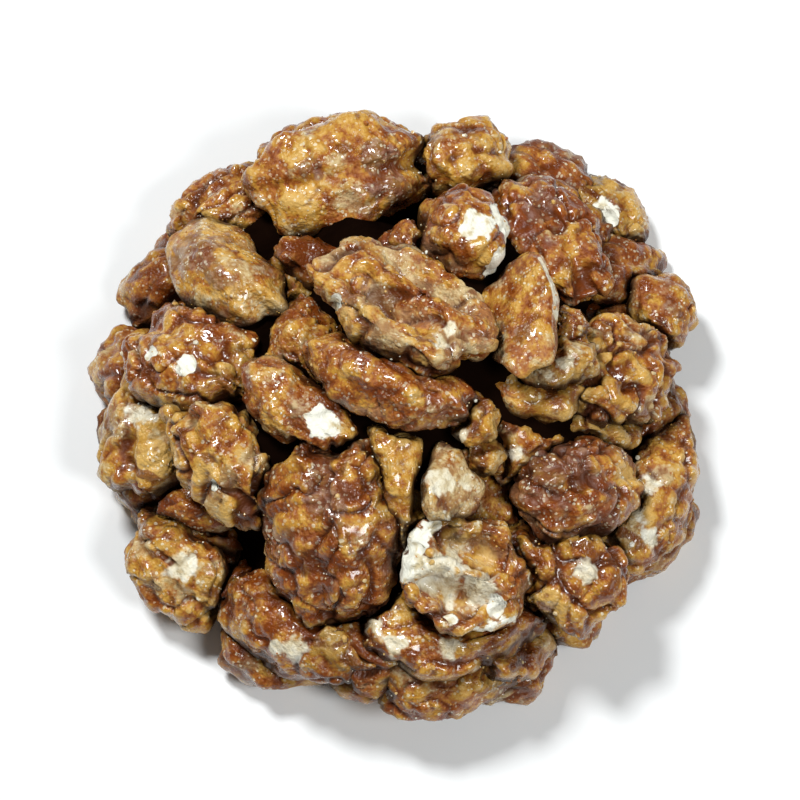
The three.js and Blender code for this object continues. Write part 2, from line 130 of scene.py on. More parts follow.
# Dropped in this order, after the rings. bare lists chips in the glaze, and cream, golden and
# dusky list spots of those colours: how far each lies from the kernel's middle along the
# table's X and Y, and its radius.
KERNELS = [
    Kernel("low_red", "chunk", -15.5, 24, -5, 18, 10, 10, under=12, amber=0.1, gloss=0.9),
    Kernel("low_right", "half", 42, 27, 10, 28, 20, 13, under=9, amber=0.4),
    Kernel("low_right_slab", "long", 37, 15.5, 20, 28, 14, 11, roll=10, under=18, amber=0.2),
    Kernel("low_left", "chunk", -38.5, -21.5, -5, 17, 10, 10, under=10, amber=0.4),
    Kernel("low_left_front", "chunk", -31, -36, 30, 13, 9, 9, under=13, amber=0.2, gloss=0.9),
    Kernel("low_middle", "wing", -2.7, -13.5, 10, 26, 14, 11, under=11, amber=0.6),
    Kernel("low_inner", "half", 25.3, -10.5, 20, 27, 19, 12, under=9, amber=0.6, purple=0.1,
           cream=[(-4.3, -4.7, 2)]),
    Kernel("low_outer", "chunk", 35.5, -6.5, 5, 24, 15, 12, under=9, amber=0.9, purple=0),
    Kernel("low_knob", "chunk", 25, -2, 0, 20, 14, 11, under=8, amber=0.9, purple=0),
    Kernel("low_back", "half", 29, 46, -35, 30, 20, 13, under=6, amber=0.3, purple=0.6),
    Kernel("low_far_left", "chunk", -47.5, 25, 20, 20, 15, 12, under=6, pale=0.3),
    Kernel("low_front", "wing", -3, -48, -4, 30, 16, 12, under=3, amber=0.4),
    Kernel("back_left", "half", -34.5, 39, 40, 26, 18, 13, under=2, amber=0.55, purple=0.2),
    Kernel("back_foot", "half", -13, 49.5, 8, 34, 22, 13),
    Kernel("front_foot", "long", 10, -52, 12, 31, 19, 12),
    Kernel("under_crown", "wing", -16.2, 4.5, -58, 25, 15, 13, under=8, amber=0.45, gloss=0.8),
    Kernel("left_tan", "half", -48, -6.5, 80, 29, 21, 13, roll=-10, under=2,
           amber=0.8, purple=0, sandy=0.6, cream=[(-0.2, 1.5, 3)], golden=[(2, -7.9, 4)]),
    Kernel("left_pale", "half", -42.5, -32.5, -50, 26, 18, 13, under=3,
           amber=0.75, purple=0, pale=0.15, sandy=0.4, cream=[(1.7, -0.5, 3.4)]),
    Kernel("front_red", "long", -19, -45.5, -28, 34, 18, 13, roll=10, under=2,
           amber=0.4, purple=0, sandy=0, gloss=1, cream=[(-0.6, -3.7, 2.4), (-4.2, -3.3, 1.4)],
           golden=[(6, -3, 4)]),
    Kernel("front_small", "chunk", 19.5, -46.5, 10, 20, 16, 12, under=3, amber=0.7, gloss=0.9,
           golden=[(-1.7, -4.4, 3)]),
    Kernel("right_dark", "half", 28, 31.5, -66, 36, 20, 14, roll=12, under=3,
           amber=0.2, purple=0.35, folds=0.6, dusky=[(-1.7, 4.2, 4)],
           golden=[(2.6, -12.4, 3), (-5, 8, 2.4), (4.7, -1.6, 2)]),
    Kernel("leaf_foot", "chunk", 28.8, 2.8, 8, 19, 12, 10, under=3,
           amber=0.9, purple=0, sandy=0.4, cream=[(1.5, -1.9, 1.8), (-2.1, -4.4, 1.5)]),
    Kernel("right_pale", "long", 48, -19.5, 60, 34, 17, 13, under=3, amber=0.7, purple=0, sandy=0.4,
           cream=[(-0.9, 1.8, 2.4), (-3.5, -4.2, 2.2), (-1, -8.7, 2.2)]),
    Kernel("back_pale", "chunk", 42, 41, -30, 18, 14, 11, under=3,
           amber=0.8, purple=0, gloss=0.8, bare=[(-1.5, -2, 3)]),
    Kernel("right_knob", "chunk", 51.5, 18.5, 60, 17, 14, 12, under=1, amber=0.6, pale=0.2),
    Kernel("back_small", "chunk", 11.5, 47.5, 10, 21, 16, 13, under=1, amber=0.8, gloss=0.9),
    Kernel("amber_strip", "long", 0, -23, -76, 28, 14, 12, under=4,
           amber=0.95, purple=0.1, gloss=0.9, folds=0.15),
    Kernel("tan_leaf", "leaf", 8.6, -23, 80, 17, 12, 7, under=5,
           amber=0.75, purple=0, pale=0.25, sandy=1, folds=0.3, knobs=0.7,
           cream=[(-1.5, 1.5, 3.2), (3.4, 1.7, 1.6)]),
    Kernel("middle_knob", "chunk", 12.9, -9.6, -60, 13, 10, 10, under=5, amber=0.8,
           cream=[(-2.5, -3.8, 1.8)]),
    Kernel("middle_crumb", "chunk", 15.5, -16.2, 0, 9, 8, 8, under=8, amber=0.8),
    Kernel("glossy_knob", "chunk", 30.5, 8.6, -40, 11, 9, 9, under=5, amber=0.6, gloss=1),
    Kernel("middle_long", "long", -1.8, -3.6, -25, 33, 16, 13, under=2,
           amber=0.3, purple=0.1, sandy=0.2, gloss=0.8, folds=0.35, golden=[(-7.4, -0.3, 3), (4.9, -5, 2)]),
    Kernel("white_patch", "long", -19, -8, -36, 25, 12.5, 12, under=4,
           amber=0.4, purple=0.35, sandy=0.5, folds=0.3, bare=[(5.2, -3.4, 3.4)]),
    Kernel("left_lobed", "half", -32.6, -15.2, -56, 32, 18, 13, roll=-8, under=2,
           amber=0.85, purple=0.15, sandy=0.5, folds=0.8, knobs=1.3,
           bare=[(-1.7, -5.9, 1.1)], golden=[(-2.5, -2.8, 3.5)]),
    Kernel("left_glossy", "half", -38.3, 5.4, -33, 31, 25, 14, roll=8, under=1,
           amber=0.45, purple=0.1, sandy=0.1, gloss=1, folds=0.6, knobs=1.2,
           bare=[(-1.3, -4, 2.2), (-8.1, -0.7, 1.5)], golden=[(6.6, -7.6, 5), (9.5, -1.5, 3.5)]),
    Kernel("right_amber", "half", 41, 3, 25, 32, 21, 14, under=1,
           amber=0.6, purple=0.1, sandy=0.5, folds=0.8, knobs=1.3, golden=[(-4.2, 1.5, 4), (3.2, -1.7, 3)]),
    Kernel("front_right", "half", 29.6, -33.4, -48, 29, 22, 14, under=1,
           amber=0.6, purple=0, sandy=0.1, gloss=1, folds=0.8, knobs=1.3,
           cream=[(4.8, -2.8, 2.4)], golden=[(-3, -9, 4)]),
    Kernel("front_pale", "long", 9.5, -45.5, 4, 34, 17, 13, under=1,
           amber=0.55, purple=0.05, sandy=0.2, gloss=0.9, folds=0.5,
           cream=[(-14.4, -0.2, 2), (-10.5, -3.5, 2.4), (-0.7, -4.2, 2.5)]),
    Kernel("smooth_leaf", "leaf", 22, 10.5, -78, 26, 17, 8, roll=10, under=1,
           amber=0.6, purple=0, sandy=0.4, gloss=0.5, folds=0.05, knobs=0.15, dusky=[(0, -5.6, 2.2)],
           cream=strip((3.8, 9), (5.8, 4.8), 0.7) + strip((5.9, 4.2), (6.5, -2.1), 0.8)),
    Kernel("dark_purple", "half", 33.2, -20.3, 18, 28.5, 20, 15,
           amber=0.35, purple=0.7, sandy=0.2, folds=0.6, knobs=1.1,
           dusky=[(-5, 4, 5)], golden=[(0.5, -1.5, 1.6), (9, 2.5, 3)]),
    Kernel("slipper", "wing", -33.4, 22.8, -52, 31.5, 17.5, 14,
           amber=0.75, purple=0.5, sandy=0.5, gloss=0.4, folds=0.1, knobs=0.4,
           dusky=[(-6, 2.8, 5)], golden=[(-2, 9, 3)]),
    Kernel("crown", "half", -11.2, 42, 192, 37, 24, 15,
           amber=0.55, purple=0.35, sandy=0.4, gloss=0.45, folds=0.3, knobs=0.8,
           golden=[(-8, -7, 5), (-9, 2, 3)], dusky=[(-5.7, -1.1, 3), (7.3, 1.5, 4), (9, -5, 4)]),
    Kernel("centre_knob", "chunk", 0.4, 24.3, 30, 15, 12, 10, under=3, amber=0.3, purple=0.5),
    Kernel("centre_turned", "half", 1.2, 9.6, 140, 37, 24, 15, roll=180, under=-1,
           amber=0.55, purple=0.1, sandy=0.6, gloss=0.4, folds=0.6, knobs=1.1,
           bare=[(-13.1, 0.2, 1.2)], cream=[(6, -7.6, 2), (7.5, -5.5, 1.6)], golden=[(-9.5, -4.1, 4)]),
    Kernel("white_edge", "chunk", 12.2, 27.2, -62, 21, 17, 14,
           amber=0.4, purple=0.15, sandy=0.1, gloss=1, folds=0.5, golden=[(3.7, -6.5, 3.5)],
           bare=[(2.1, -1.2, 3.4)] + strip((5.8, 3.4), (8.4, -3), 1.4) + strip((8.2, -5), (4.6, -9.2), 1.2)),
    Kernel("dark_round", "half", -13, -29.8, -94, 38, 26.5, 16, under=-1,
           amber=0.4, purple=0.4, sandy=0.2, gloss=0.7, folds=0.6, knobs=1.1, dusky=[(0.1, 6.3, 4.5)],
           golden=[(-4.4, -7.6, 1.6), (3.9, -4.5, 1.5), (-6.2, 11.2, 3.5), (3.5, 9.3, 2.2)]),
    Kernel("pale_turned", "half", 10.6, -36.6, -20, 27, 22, 13, roll=180, under=-1,
           amber=0.6, purple=0, pale=0.5, sandy=0.2, gloss=0.9, folds=0.6, knobs=1.3,
           bare=[(-10, 0, 3.2), (-8, 4.5, 3), (-5, 7.5, 2), (6.7, -6.5, 1.8), (-1, -8.5, 1.5)],
           cream=[(-3.5, -1, 5.5), (3.7, -3.3, 3.5), (-1, 3, 2.5)], golden=[(0, 7.5, 3), (4.5, 1.5, 3)]),
]


# ---- layout ----

def random_stream(seed):
    """A small repeatable stream of numbers from 0 to 1 (mulberry32)."""
    word = 0xFFFFFFFF
    state = seed

    def draw():
        nonlocal state
        state = (state + 0x6D2B79F5) & word
        t = ((state ^ (state >> 15)) * (state | 1)) & word
        t ^= (t + (((t ^ (t >> 7)) * (t | 61)) & word)) & word
        return ((t ^ (t >> 14)) & word) / (word + 1)

    return draw


def ring_kernels():
    """The kernels round the foot of the heap and under its upper ones."""
    draw = random_stream(RING_SEED)
    kernels = []

    def between(low, high):
        return low + (high - low) * draw()

    def spread(size):
        return size * (draw() - 0.5)

    for ring in RINGS:
        for i in range(ring["count"]):
            angle = (i + ring["start"] + spread(RING_JITTER["angle"])) * 2 * math.pi / ring["count"]
            radius = ring["radius"] + spread(RING_JITTER["radius"])
            length = between(*RING_KERNEL["length"])
            form = RING_FORMS[int(draw() * len(RING_FORMS))]
            yaw = math.degrees(angle) + 90 + spread(RING_JITTER["yaw"])
            width = length * between(*RING_KERNEL["slimness"])
            height = between(*RING_KERNEL["height"])
            pitch, roll = spread(RING_JITTER["pitch"]), spread(RING_JITTER["roll"])
            phase = RING_JITTER["phase"] * draw()
            kernels.append(Kernel(
                f"ring_{ring['radius']}_{i}", form, radius * math.cos(angle), radius * math.sin(angle),
                yaw, length, width, height, pitch=pitch, roll=roll, under=ring["under"], phase=phase))
    return kernels


def mound_height(r):
    return MOUND["height"] * np.maximum(0, 1 - (r / MOUND["radius"]) ** 2) ** MOUND["shoulder"]


def bed_height(r):
    slope = (BED["height"] - BED["rim"]) * (1 - (r / BED["radius"]) ** 2)
    return np.where(r > BED["radius"], 0, BED["rim"] + slope)


def turn(axis, degrees):
    """The 3 by 3 matrix of a turn about a unit axis."""
    c, s = math.cos(math.radians(degrees)), math.sin(math.radians(degrees))
    x, y, z = axis
    cross = np.array([[0, -z, y], [z, 0, -x], [-y, x, 0]])
    return np.eye(3) + s * cross + (1 - c) * cross @ cross


class HeightField:
    """A grid of heights over the table, raised by each kernel that comes to rest on it."""

    def __init__(self, height_at):
        count = int(2 * FIELD_REACH / FIELD_CELL) + 1
        axis = np.arange(count) * FIELD_CELL - FIELD_REACH
        self.x, self.y = np.meshgrid(axis, axis, indexing="ij")
        self.height = height_at(np.hypot(self.x, self.y))

    def slope(self, x, y, reach):
        """The best-fitting slope of the heights near a point."""
        near = (self.x - x) ** 2 + (self.y - y) ** 2 < reach ** 2
        dx, dy, height = self.x[near] - x, self.y[near] - y, self.height[near]
        rise = height - height.mean()
        return (dx * rise).sum() / (dx * dx).sum(), (dy * rise).sum() / (dy * dy).sum()

    def rest(self, x, y, semi, spin, ceiling):
        """The height at which an ellipsoid with half-axes semi, turned by spin, comes to rest."""
        # an upright line at dx, dy meets the ellipsoid where a quadratic in its height is 0
        q = spin @ np.diag([1 / s ** 2 for s in semi]) @ spin.T
        dx, dy = self.x - x, self.y - y
        b = q[0, 2] * dx + q[1, 2] * dy
        root = b * b - q[2, 2] * (q[0, 0] * dx ** 2 + 2 * q[0, 1] * dx * dy + q[1, 1] * dy ** 2 - 1)
        on = root > 0
        half = np.sqrt(root[on])
        low, high = (-b[on] - half) / q[2, 2], (-b[on] + half) / q[2, 2]
        nested = np.sort(self.height[on] - low)[int(on.sum() * (1 - NESTING))]
        z = max(min(nested, ceiling - high.max()), -low.min())
        self.height[on] = np.maximum(self.height[on], z + high)
        return z


def settle(kernels):
    """Gives each kernel its spin and middle: leaning with the slope, then yaw, roll and pitch."""
    ground = HeightField(bed_height)
    for k in kernels:
        slope = ground.slope(k.x, k.y, LEAN_REACH * k.length)
        steep = math.hypot(*slope)
        spin = np.eye(3)
        if steep > LEVEL:
            lean = math.degrees(math.atan(min(steep, STEEPEST)))
            spin = turn((slope[1] / steep, -slope[0] / steep, 0), lean)
        spin = spin @ turn((0, 0, 1), k.yaw) @ turn((1, 0, 0), k.roll) @ turn((0, 1, 0), k.pitch)
        semi = (k.length / 2, k.width / 2, k.height / 2)
        ceiling = mound_height(math.hypot(k.x, k.y)) - k.under
        k.spin = spin
        k.middle = np.array([k.x, k.y, ground.rest(k.x, k.y, semi, spin, ceiling)])


def laid_kernels():
    """The kernels of the rings and the named ones, each at rest."""
    rings = ring_kernels()
    for i, k in enumerate(KERNELS):
        k.phase = PHASE_STEP * i
    settle(rings + KERNELS)
    return rings, KERNELS


# ---- kernel forms ----

ROUNDING = 1e6  # steps to a unit: points of the sphere that share a step are one


def even_sphere(grid):
    """Unit vectors of a cube's grid pushed out to the sphere, and the quads between them."""
    t = np.tan(np.linspace(-1, 1, grid + 1) * math.pi / 4)
    a, b = np.meshgrid(t, t, indexing="ij")
    one = np.ones_like(a)
    sides = ((one, a, b), (-one, b, a), (b, one, a), (a, -one, b), (a, b, one), (b, a, -one))
    points, quads = [], []
    for n, side in enumerate(sides):
        p = np.stack([c.ravel() for c in side], 1)
        points.append(p / np.linalg.norm(p, axis=1)[:, None])
        i = np.arange(grid * (grid + 1)).reshape(grid, grid + 1)[:, :grid].ravel() + n * (grid + 1) ** 2
        quads.append(np.stack([i, i + grid + 1, i + grid + 2, i + 1], 1))
    points, quads = np.concatenate(points), np.concatenate(quads)
    key = np.round(points * ROUNDING).astype(np.int64)
    _, first, inverse = np.unique(key, axis=0, return_index=True, return_inverse=True)
    return points[first], inverse.ravel()[quads]


def bell(x, width):
    return np.exp(-((x / width) ** 2))


def ripple(x, y, z, pitch, phase):
    """Broad lumps that run round a kernel, from crossed waves of one pitch."""
    first = np.sin(pitch * (x + 0.4 * y) + phase)
    second = np.sin(pitch * (y + 0.4 * z) + 1.7 * phase + 1.3)
    third = np.sin(pitch * (z + 0.4 * x) + 2.3 * phase + 2.1)
    return (first * second + third) / 2


def kernel_form(form, u, phase):
    """Moves points of the unit sphere to the kernel's surface, on a unit box of its own."""
    x, y, z = u.T
    up, down, lumps = FORMS[form]
    phi, flat = np.arctan2(y, x), np.hypot(x, y)
    lobes = 1 + flat ** 2 * (0.05 * np.cos(7 * phi + phase) + 0.035 * np.cos(4 * phi + 2 * phase))
    X, Y = x * lobes, y * lobes
    Z = np.sign(z) * np.abs(z) ** 0.85 * np.where(z > 0, up, down)
    if form == "half":
        # a notch at the stem end, a crease along the back and two hollows in the inner side
        X = X * (1 - 0.16 * bell(np.abs(phi) - math.pi, 0.3) - 0.06 * bell(phi, 0.22))
        crease = bell(y, 0.15) * (0.1 + 0.22 * x ** 2)
        hollow = 0.75 * np.abs(z) * bell(np.abs(y) - 0.42, 0.24) * bell(x, 0.62)
        Z = np.where(z > 0, Z * (1 - crease), Z + hollow)
    elif form == "long":
        # narrower and flatter towards one end, and a little bent
        Y = Y * (1 - 0.2 * x) + 0.14 * x ** 2
        Z = Z * (1 - 0.12 * x)
    elif form == "wing":
        # well bent, and thinner on the inside of the bend
        Y = Y * (1 - 0.12 * x) + 0.34 * x ** 2 - 0.1
        Z = Z * (1 - 0.25 * np.clip(y, 0, 1))
    elif form == "leaf":
        # narrower towards one end, with its rim turned up at two places
        X = X * (1 + 0.12 * np.cos(phi))
        Y = Y * (1 - 0.18 * x)
        Z = Z + 0.35 * flat ** 2 * (0.5 + 0.5 * np.cos(2 * phi + phase))
    lump = 1 + lumps * ripple(x, y, z, 3.2, phase) + 0.05 * ripple(x, y, z, 7.5, phase + 2)
    return np.stack([X, Y, Z], 1) * lump[:, None]


def kernel_size(k):
    """What a unit of the form measures in mm, and how far its widest line is from its middle."""
    up, down, _ = FORMS[k.form]
    unit = k.height / (up + down)
    return np.array([k.length / 2, k.width / 2, unit]), unit * (up - down) / 2


def kernel_points(k, u):
    """The kernel's surface in its own axes and on the table, both in mm."""
    size, rise = kernel_size(k)
    own = kernel_form(k.form, u, k.phase) * size - (0, 0, rise)
    return own, own @ k.spin.T + k.middle


def clearance(k, table):
    """How far points on the table lie outside a kernel, in mm: below 0 inside it."""
    size, rise = kernel_size(k)
    own = (table - k.middle) @ k.spin + (0, 0, rise)
    u = own / size
    u /= np.linalg.norm(u, axis=1)[:, None]
    surface = kernel_form(k.form, u, k.phase) * size
    return np.linalg.norm(own, axis=1) - np.linalg.norm(surface, axis=1)


GAP = 0.9  # mm left free between two kernels
GAP_ROUNDING = 0.6  # mm over which a dent runs out
DEEPEST_DENT = 0.35  # of a kernel's height
NOOK_SHADE_REACH = 3.0  # mm beyond that gap, within which the glaze is darkened by painted shade


def make_room(k, own, table, heap):
    """Draws a kernel in where those laid after it would cut it, and finds how near its neighbours lie, for
    painted shade.
    """
    dent, nearest = np.zeros(len(table)), np.full(len(table), np.inf)
    later = False
    for other in heap:
        if other is k:
            later = True
            continue
        if np.linalg.norm(other.middle - k.middle) > (k.length + other.length) / 2 + NOOK_SHADE_REACH:
            continue
        away = clearance(other, table)
        nearest = np.minimum(nearest, away)
        if later:
            short = GAP - away
            dent = np.maximum(dent, (np.hypot(short, GAP_ROUNDING) + short) / 2)
    dent = np.minimum(dent, DEEPEST_DENT * k.height)
    size, rise = kernel_size(k)
    normal = (own + (0, 0, rise)) / size ** 2
    normal /= np.linalg.norm(normal, axis=1)[:, None]
    # how near the neighbours lie: the glaze gets painted shade there
    nook = np.clip(1 - (nearest - GAP) / NOOK_SHADE_REACH, 0, 1)
    return table - dent[:, None] * (normal @ k.spin.T), nook


# ---- meshes ----

RELIEF_BY_FORM = {"half": 1.0, "long": 0.9, "wing": 0.9, "leaf": 0.4, "chunk": 0.75}
# mm that the glaze's pattern moves on, along X and Z with a kernel's number and along Y with its phase
GRAIN_STEPS = (61.7, 31.3, 17.9)
CUBE_SIDES = 6  # of the grid that even_sphere makes
SMALLEST_GRID = 8
LOOKS = ("amber", "purple", "pale", "sandy", "gloss", "folds", "knobs")
SPOTS = ("bare", "cream", "golden", "dusky")
SPOT_DROP = 3  # mm below a kernel's middle down to which its spots reach
NO_SPOT = -4.0  # the reach of a spot where there is none
RIM_WIDTH = 0.35  # of a form's unit of height, above and below the widest line
SEEN_SIDE = 0.35  # of the sphere's radius, by which its points are drawn to the upper side


def read_array(items, key, count, dtype=np.float32):
    """One property of all of a mesh's vertices, corners or attribute values."""
    values = np.empty(count, dtype=dtype)
    items.foreach_get(key, values)
    return values


def set_attribute(mesh, name, kind, values):
    attribute = mesh.attributes.new(name, kind, "POINT")
    slot = "vector" if kind == "FLOAT_VECTOR" else "value"
    attribute.data.foreach_set(slot, np.ascontiguousarray(values, dtype=np.float32).ravel())


def spot_reach(k, table, spots):
    """1 in the middle of a spot, 0 at its edge and falling below 0 outside."""
    reach = np.full(len(table), NO_SPOT)
    upper = table[:, 2] > k.middle[2] - SPOT_DROP
    for dx, dy, radius in spots:
        away = np.hypot(table[:, 0] - k.x - dx, table[:, 1] - k.y - dy)
        reach = np.maximum(reach, np.where(upper, 1 - away / radius, NO_SPOT))
    return reach


def near_rim(k, own):
    """1 along the widest line of a kernel, where its glaze is thin, and 0 away from it."""
    size, rise = kernel_size(k)
    return np.clip(1 - np.abs(own[:, 2] + rise) / (RIM_WIDTH * size[2]), 0, 1)


def kernel_surface(k, n, spacing, heap):
    """One kernel's points and faces, and what its glaze needs to know at each point.

    n is its number in its piece, which gives its pattern a place of its own.
    """
    area = math.pi * (k.length * k.width / 2 + k.height * (k.length + k.width) / 4)
    side = math.sqrt(area / CUBE_SIDES)
    grid = max(SMALLEST_GRID, round(side / spacing))
    u, quads = even_sphere(grid)
    u = u + SEEN_SIDE * k.spin[2]
    own, table = kernel_points(k, u / np.linalg.norm(u, axis=1)[:, None])
    places, nook = make_room(k, own, table, heap)
    grain = own + np.array(GRAIN_STEPS) * (n + 1, k.phase, n)
    looks = {key: np.full(len(own), getattr(k, key)) for key in LOOKS}
    looks |= {key: spot_reach(k, table, getattr(k, key)) for key in SPOTS}
    looks |= {"relief": np.full(len(own), RELIEF_BY_FORM[k.form]), "nook": nook, "rim": near_rim(k, own)}
    return places, quads, grain, looks


def kernel_mesh(name, kernels, spacing, heap):
    """Joins kernels in one mesh, with faces about spacing mm wide."""
    surfaces = [kernel_surface(k, n, spacing, heap) for n, k in enumerate(kernels)]
    places, quads, grain, looks = zip(*surfaces)
    starts = np.cumsum([0] + [len(part) for part in places])
    faces = np.concatenate([part + start for part, start in zip(quads, starts)])
    mesh = bpy.data.meshes.new(name)
    mesh.from_pydata((np.concatenate(places) * MM).tolist(), [], faces.tolist())
    mesh.polygons.foreach_set("use_smooth", np.ones(len(mesh.polygons), dtype=bool))
    set_attribute(mesh, "grain", "FLOAT_VECTOR", np.concatenate(grain))
    for key in looks[0]:
        set_attribute(mesh, key, "FLOAT", np.concatenate([part[key] for part in looks]))
    return mesh


def add_object(name, mesh):
    piece = bpy.data.objects.new(name, mesh)
    bpy.context.scene.collection.objects.link(piece)
    return piece


# ---- node graphs, for shaders and for geometry alike ----

class Wire:
    """A socket of a node graph. Its operators add Math nodes."""

    def __init__(self, graph, socket):
        self.graph, self.socket = graph, socket

    def __add__(self, other):
        return self.graph.math("ADD", self, other)

    def __sub__(self, other):
        return self.graph.math("SUBTRACT", self, other)

    def __rsub__(self, other):
        return self.graph.math("SUBTRACT", other, self)

    def __mul__(self, other):
        return self.graph.math("MULTIPLY", self, other)

    def __truediv__(self, other):
        return self.graph.math("DIVIDE", self, other)

    def __pow__(self, other):
        return self.graph.math("POWER", self, other)

    def __neg__(self):
        return self * -1

    def __abs__(self):
        return self.graph.math("ABSOLUTE", self)

    __radd__ = __add__
    __rmul__ = __mul__


class Graph:
    """A node tree that is filled by expressions."""

    def __init__(self, tree):
        self.tree = tree

    def node(self, kind, settings=None, links=None):
        """Adds a node: its settings first, then the values or links of its sockets."""
        node = self.tree.nodes.new(kind)
        for name, value in (settings or {}).items():
            setattr(node, name, value)
        for key, value in (links or {}).items():
            if isinstance(value, Wire):
                self.tree.links.new(value.socket, node.inputs[key])
            else:
                node.inputs[key].default_value = value
        return node

    def wire(self, kind, settings=None, links=None, out=0):
        return Wire(self, self.node(kind, settings, links).outputs[out])

    def math(self, operation, *values):
        return self.wire("ShaderNodeMath", {"operation": operation}, dict(enumerate(values)))

    def vector(self, operation, *values):
        return self.wire("ShaderNodeVectorMath", {"operation": operation}, dict(enumerate(values)))

    def scaled(self, vector, factor):
        return self.wire("ShaderNodeVectorMath", {"operation": "SCALE"}, {0: vector, "Scale": factor})

    def split(self, vector):
        node = self.node("ShaderNodeSeparateXYZ", None, {0: vector})
        return [Wire(self, socket) for socket in node.outputs]

    def step(self, value, low, high):
        """0 at low and 1 at high, smooth between them and level beyond."""
        settings = {"interpolation_type": "SMOOTHSTEP"}
        return self.wire("ShaderNodeMapRange", settings, {0: value, 1: low, 2: high})

    def inverse(self, pitch):
        """The scale that gives a texture this pitch."""
        return self.math("DIVIDE", 1, pitch) if isinstance(pitch, Wire) else 1 / pitch

    def noise(self, place, pitch, detail=2.0, out=0):
        """Soft noise around 0.5 whose blobs are about pitch wide."""
        links = {"Vector": place, "Scale": self.inverse(pitch), "Detail": detail}
        return self.wire("ShaderNodeTexNoise", None, links, out)

    def cells(self, place, pitch, feature="F1", smooth=None, out="Distance"):
        """The nearest of points scattered about pitch apart: how many pitches off, or its colour."""
        links = {"Vector": place, "Scale": self.inverse(pitch)}
        if smooth is not None:
            links["Smoothness"] = smooth
        return self.wire("ShaderNodeTexVoronoi", {"feature": feature}, links, out)

    def ramp(self, value, stops):
        """A colour that runs through stops of place and colour."""
        node = self.node("ShaderNodeValToRGB", None, {0: value})
        elements = node.color_ramp.elements
        while len(elements) < len(stops):
            elements.new(1)
        for element, (place, color) in zip(elements, stops):
            element.position, element.color = place, color
        return Wire(self, node.outputs[0])

    def blend(self, factor, a, b):
        """A colour between a and b."""
        links = {0: factor, 6: a, 7: b}
        return self.wire("ShaderNodeMix", {"data_type": "RGBA"}, links, 2)


# ---- the glaze's relief, by geometry nodes ----

# The edges of chips and spots are ragged by one noise, in the relief and in the colours.
RAGGED_PITCH = 2.4  # mm
RAGGED_SHIFT = 1.2  # how strongly it moves them, in radii of the spot

# The tree's inputs, in mm, but for the groove width, which is in the noise's own measure.
RELIEF = {
    "Bend pitch": 9.0,
    "Bend": 9.0,
    "Fold pitch": 4.8,
    "Fold depth": 1.1,
    "Groove pitch": 9.0,
    "Groove width": 0.04,
    "Groove depth": 1.5,
    "Swell pitch": 5.0,
    "Swell": 1.4,
    "Lump pitch": 3.2,
    "Lump depth": 0.48,
    "Patch pitch": 6.0,
    "Crust pitch": 1.35,
    "Crust depth": 0.3,
    "Grit pitch": 0.8,
    "Grit depth": 0.2,
    "Chip depth": 0.3,
    "Shrink": 0.1,
}


def geometry_tree(name, inputs):
    """A geometry node tree with a geometry input and output, and named numbers."""
    tree = bpy.data.node_groups.new(name, "GeometryNodeTree")
    tree.interface.new_socket("Geometry", in_out="INPUT", socket_type="NodeSocketGeometry")
    tree.interface.new_socket("Geometry", in_out="OUTPUT", socket_type="NodeSocketGeometry")
    for key, value in inputs.items():
        kind = "NodeSocketInt" if isinstance(value, int) else "NodeSocketFloat"
        socket = tree.interface.new_socket(key, in_out="INPUT", socket_type=kind)
        socket.default_value = value
    graph = Graph(tree)
    source = graph.node("NodeGroupInput")
    wires = {socket.name: Wire(graph, socket) for socket in source.outputs if socket.name}
    return graph, wires


def finish_tree(graph, geometry):
    graph.node("NodeGroupOutput", None, {"Geometry": geometry})
    return graph.tree


def named(graph, name, kind="FLOAT"):
    return graph.wire("GeometryNodeInputNamedAttribute", {"data_type": kind}, {"Name": name})


def stored(graph, geometry, name, value):
    links = {"Geometry": geometry, "Name": name, "Value": value}
    settings = {"data_type": "FLOAT", "domain": "POINT"}
    return graph.wire("GeometryNodeStoreNamedAttribute", settings, links)


def raised(graph, geometry, height):
    """Moves the surface out along its normal by a height in mm."""
    normal = graph.wire("GeometryNodeInputNormal")
    links = {"Geometry": geometry, "Offset": graph.scaled(normal, height * MM)}
    return graph.wire("GeometryNodeSetPosition", None, links)


